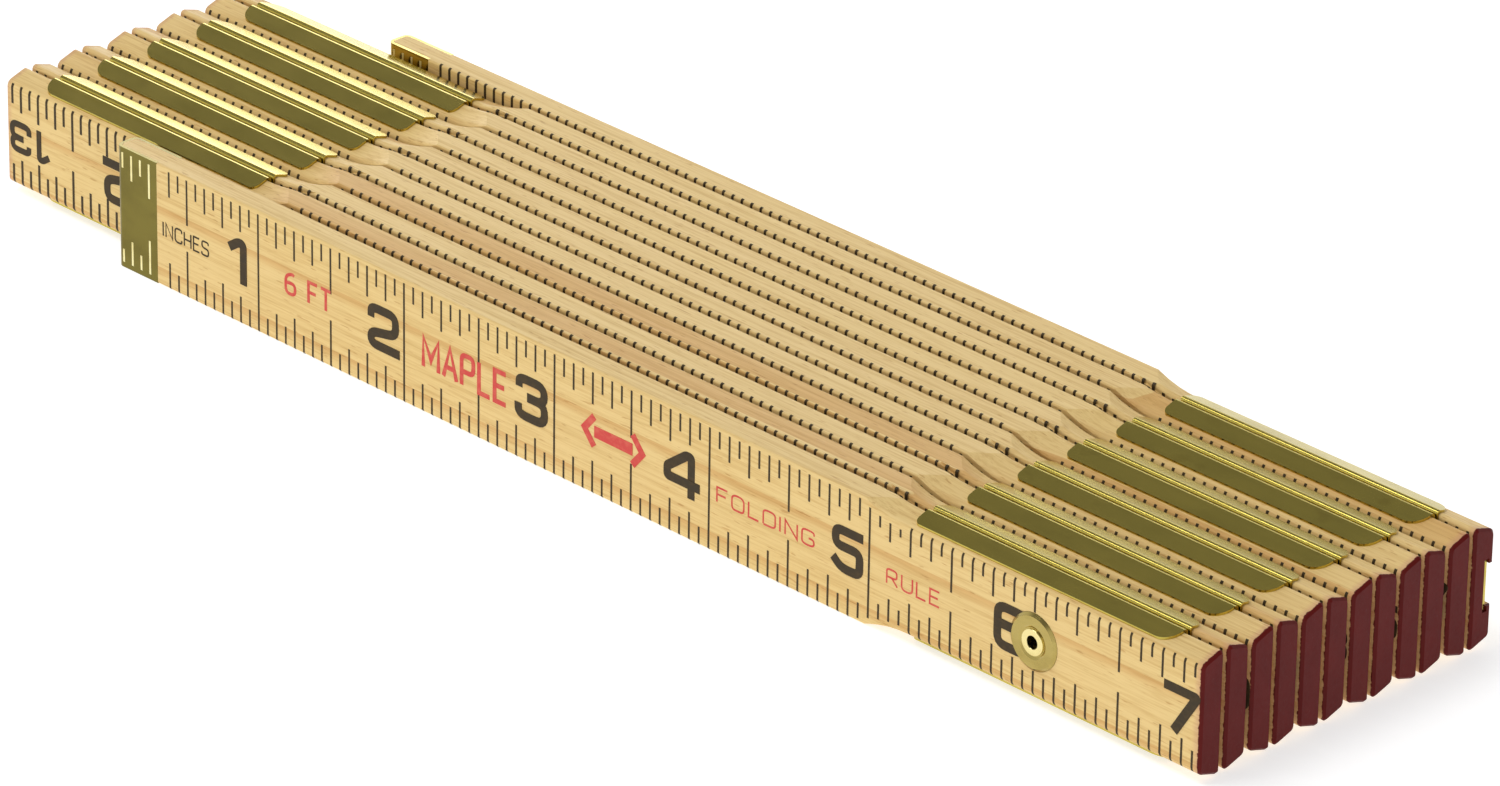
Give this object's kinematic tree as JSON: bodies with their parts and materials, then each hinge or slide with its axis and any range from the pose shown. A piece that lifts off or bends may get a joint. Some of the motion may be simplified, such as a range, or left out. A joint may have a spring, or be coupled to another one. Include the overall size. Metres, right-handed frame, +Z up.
{
  "type": "folding rule",
  "caption": "Folding zig-zag wooden rule with brass spring joints, brass end tips, red-painted stick ends and a brass extension slide let into the last stick.",
  "frame": {"origin": "centre of the folded bundle's footprint, on the surface that the long narrow edges stand on", "axes": "+X along the sticks towards the right-hand pivots, +Y from the first stick (zero end) to the last stick (slide), +Z up across the sticks' 5/8 inch width"},
  "size_m": [0.2024, 0.0476, 0.0159],
  "materials": {
    "maple": "clear-lacquered pale maple, printed, ends dipped in dark red",
    "plate_brass": "rolled sheet, satin",
    "rivet_brass": "polished by use",
    "tip_brass": "rolled sheet, satin, engraved",
    "slide_brass": "drawn strip, satin, graduated",
    "black_ink": "printed black",
    "red_ink": "printed red"
  },
  "bodies": {
    "stick_01_assembly": {"stick_01": "maple", "stick_01_washers": "rivet_brass", "joint_01_plate_front": "plate_brass", "joint_01_rivet": "rivet_brass", "zero_end_tip": "tip_brass"},
    "stick_02_assembly": {"stick_02": "maple", "stick_02_washers": "rivet_brass", "joint_01_plate_back": "plate_brass", "joint_02_plate_front": "plate_brass", "joint_02_rivet": "rivet_brass"},
    "stick_03_assembly": {"stick_03": "maple", "stick_03_washers": "rivet_brass", "joint_02_plate_back": "plate_brass", "joint_03_plate_front": "plate_brass", "joint_03_rivet": "rivet_brass"},
    "stick_04_assembly": {"stick_04": "maple", "stick_04_washers": "rivet_brass", "joint_03_plate_back": "plate_brass", "joint_04_plate_front": "plate_brass", "joint_04_rivet": "rivet_brass"},
    "stick_05_assembly": {"stick_05": "maple", "stick_05_washers": "rivet_brass", "joint_04_plate_back": "plate_brass", "joint_05_plate_front": "plate_brass", "joint_05_rivet": "rivet_brass"},
    "stick_06_assembly": {"stick_06": "maple", "stick_06_washers": "rivet_brass", "joint_05_plate_back": "plate_brass", "joint_06_plate_front": "plate_brass", "joint_06_rivet": "rivet_brass"},
    "stick_07_assembly": {"stick_07": "maple", "stick_07_washers": "rivet_brass", "joint_06_plate_back": "plate_brass", "joint_07_plate_front": "plate_brass", "joint_07_rivet": "rivet_brass"},
    "stick_08_assembly": {"stick_08": "maple", "stick_08_washers": "rivet_brass", "joint_07_plate_back": "plate_brass", "joint_08_plate_front": "plate_brass", "joint_08_rivet": "rivet_brass"},
    "stick_09_assembly": {"stick_09": "maple", "stick_09_washers": "rivet_brass", "joint_08_plate_back": "plate_brass", "joint_09_plate_front": "plate_brass", "joint_09_rivet": "rivet_brass"},
    "stick_10_assembly": {"stick_10": "maple", "stick_10_washers": "rivet_brass", "joint_09_plate_back": "plate_brass", "joint_10_plate_front": "plate_brass", "joint_10_rivet": "rivet_brass"},
    "stick_11_assembly": {"stick_11": "maple", "stick_11_washers": "rivet_brass", "joint_10_plate_back": "plate_brass", "joint_11_plate_front": "plate_brass", "joint_11_rivet": "rivet_brass"},
    "stick_12_assembly": {"stick_12": "maple", "stick_12_washers": "rivet_brass", "joint_11_plate_back": "plate_brass", "slide_end_tip": "tip_brass"},
    "slide": {"extension_slide": "slide_brass"}
  },
  "joints": [
    {"name": "fold_01", "type": "hinge", "parent": "stick_01_assembly", "child": "stick_02_assembly", "pos_m": [0.0762, -0.01982, 0.00794], "axis": [0, 1, 0], "range_deg": [-180, 180]},
    {"name": "fold_02", "type": "hinge", "parent": "stick_02_assembly", "child": "stick_03_assembly", "pos_m": [-0.0762, -0.01582, 0.00794], "axis": [0, -1, 0], "range_deg": [-180, 180]},
    {"name": "fold_03", "type": "hinge", "parent": "stick_03_assembly", "child": "stick_04_assembly", "pos_m": [0.0762, -0.01183, 0.00794], "axis": [0, 1, 0], "range_deg": [-180, 180]},
    {"name": "fold_04", "type": "hinge", "parent": "stick_04_assembly", "child": "stick_05_assembly", "pos_m": [-0.0762, -0.00783, 0.00794], "axis": [0, -1, 0], "range_deg": [-180, 180]},
    {"name": "fold_05", "type": "hinge", "parent": "stick_05_assembly", "child": "stick_06_assembly", "pos_m": [0.0762, -0.00382, 0.00794], "axis": [0, 1, 0], "range_deg": [-180, 180]},
    {"name": "fold_06", "type": "hinge", "parent": "stick_06_assembly", "child": "stick_07_assembly", "pos_m": [-0.0762, 0.00017, 0.00794], "axis": [0, -1, 0], "range_deg": [-180, 180]},
    {"name": "fold_07", "type": "hinge", "parent": "stick_07_assembly", "child": "stick_08_assembly", "pos_m": [0.0762, 0.00417, 0.00794], "axis": [0, 1, 0], "range_deg": [-180, 180]},
    {"name": "fold_08", "type": "hinge", "parent": "stick_08_assembly", "child": "stick_09_assembly", "pos_m": [-0.0762, 0.00817, 0.00794], "axis": [0, -1, 0], "range_deg": [-180, 180]},
    {"name": "fold_09", "type": "hinge", "parent": "stick_09_assembly", "child": "stick_10_assembly", "pos_m": [0.0762, 0.01218, 0.00794], "axis": [0, 1, 0], "range_deg": [-180, 180]},
    {"name": "fold_10", "type": "hinge", "parent": "stick_10_assembly", "child": "stick_11_assembly", "pos_m": [-0.0762, 0.01617, 0.00794], "axis": [0, -1, 0], "range_deg": [-180, 180]},
    {"name": "fold_11", "type": "hinge", "parent": "stick_11_assembly", "child": "stick_12_assembly", "pos_m": [0.0762, 0.02017, 0.00794], "axis": [0, 1, 0], "range_deg": [-180, 180]},
    {"name": "slide_extend", "type": "slide", "parent": "stick_12_assembly", "child": "slide", "axis": [-1, 0, 0], "range_m": [0, 0.1524]}
  ]
}
